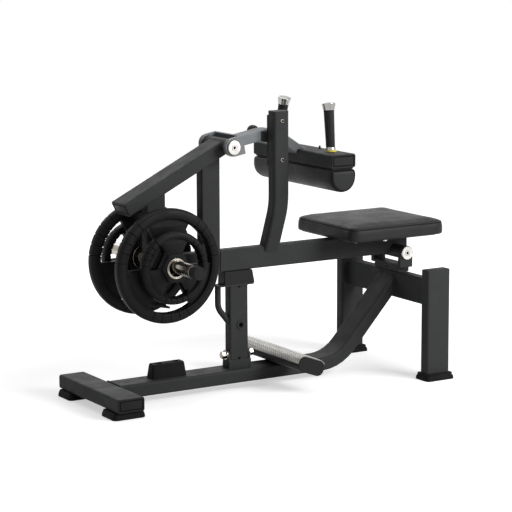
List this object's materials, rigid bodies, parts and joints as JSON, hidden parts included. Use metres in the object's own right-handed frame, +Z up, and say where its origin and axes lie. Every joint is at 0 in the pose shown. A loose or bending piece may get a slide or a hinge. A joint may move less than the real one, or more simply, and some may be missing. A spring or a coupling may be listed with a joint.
{
  "type": "seated calf raise machine",
  "caption": "Plate-loaded seated calf raise machine: pivoting beam with seat, adjustable knee pad with handles, weight horns, swing-away support post and footrest on a steel base.",
  "frame": {"origin": "on the floor, under the middle of the machine's length and width", "axes": "+X from the front crossbar towards the seat, +Y to the far side, +Z up"},
  "size_m": [1.566, 0.72, 1.1445],
  "materials": {
    "frame_paint": "satin black powder coat",
    "arm_paint": "satin grey powder coat",
    "black_plastic": "satin black moulding",
    "black_rubber": "matt black rubber",
    "plate_rubber": "dull black coating over iron",
    "vinyl": "fine-grained black upholstery",
    "chrome": "polished chrome",
    "tread_aluminium": "embossed bright tread"
  },
  "bodies": {
    "base": {"front_crossbar": "frame_paint", "front_crossbar_cap_near": "black_plastic", "front_crossbar_cap_far": "black_plastic", "front_foot_near": "black_rubber", "front_foot_far": "black_rubber", "base_tube": "frame_paint", "rear_crossbar": "frame_paint", "rear_leg_near": "frame_paint", "rear_leg_far": "frame_paint", "rear_boot_near": "black_rubber", "rear_boot_far": "black_rubber", "rear_clevis": "frame_paint", "rear_pivot_shaft": "chrome", "rear_pivot_cap": "chrome", "footrest_tube": "frame_paint", "footrest_tread": "tread_aluminium", "footrest_cap_near": "black_plastic", "footrest_cap_far": "black_plastic", "stop_bumper": "black_rubber", "post_bracket": "frame_paint", "post_pivot_bolt": "chrome", "post_pivot_nut": "chrome"},
    "support_post": {"support_post": "frame_paint", "post_cap": "black_rubber", "post_handle": "frame_paint"},
    "swing": {"main_beam": "frame_paint", "rear_pivot_tube": "frame_paint", "top_pivot_tube": "frame_paint", "weight_beam": "frame_paint", "weight_beam_cap": "black_plastic", "upright": "frame_paint", "hanger": "frame_paint", "horn_near": "chrome", "horn_far": "chrome", "horn_cap_near": "black_plastic", "horn_cap_far": "black_plastic", "seat_frame": "frame_paint", "seat_board": "black_plastic", "seat_cushion": "vinyl", "rack_post": "frame_paint", "rack_plate": "frame_paint"},
    "arm": {"arm_yoke": "arm_paint", "arm_tube": "arm_paint", "pad_crossbeam": "frame_paint", "crossbeam_cap_near": "black_plastic", "crossbeam_cap_far": "black_plastic", "knee_pad_board": "black_plastic", "knee_pad": "vinyl", "handle_near": "black_plastic", "handle_far": "black_plastic", "handle_cap_near": "chrome", "handle_cap_far": "chrome", "top_pivot_shaft": "chrome", "top_pivot_cap": "chrome"},
    "pull_pin": {"pull_pin": "black_plastic"},
    "large_plate_near": {"large_plate_near": "plate_rubber"},
    "large_plate_far": {"large_plate_far": "plate_rubber"},
    "small_plate_near": {"small_plate_near": "plate_rubber"},
    "small_plate_far": {"small_plate_far": "plate_rubber"}
  },
  "joints": [
    {"name": "lift", "type": "hinge", "parent": "base", "child": "swing", "pos_m": [0.669, 0, 0.4923], "axis": [0, 1, 0], "range_deg": [0, 14]},
    {"name": "post_fold", "type": "hinge", "parent": "base", "child": "support_post", "pos_m": [-0.089, 0, 0.1365], "axis": [1, 0, 0], "range_deg": [0, 30]},
    {"name": "arm_adjust", "type": "hinge", "parent": "swing", "child": "arm", "pos_m": [-0.161, 0, 0.983], "axis": [0, 1, 0], "range_deg": [-10, 15]},
    {"name": "pin_pull", "type": "slide", "parent": "arm", "child": "pull_pin", "axis": [0, 1, 0], "range_m": [-0.006, 0]},
    {"name": "large_slide_near", "type": "slide", "parent": "swing", "child": "large_plate_near", "axis": [0, -1, 0], "range_m": [0, 0.09]},
    {"name": "small_slide_near", "type": "slide", "parent": "large_plate_near", "child": "small_plate_near", "axis": [0, -1, 0], "range_m": [0, 0.085]},
    {"name": "large_slide_far", "type": "slide", "parent": "swing", "child": "large_plate_far", "axis": [0, 1, 0], "range_m": [0, 0.09]},
    {"name": "small_slide_far", "type": "slide", "parent": "large_plate_far", "child": "small_plate_far", "axis": [0, 1, 0], "range_m": [0, 0.085]}
  ]
}
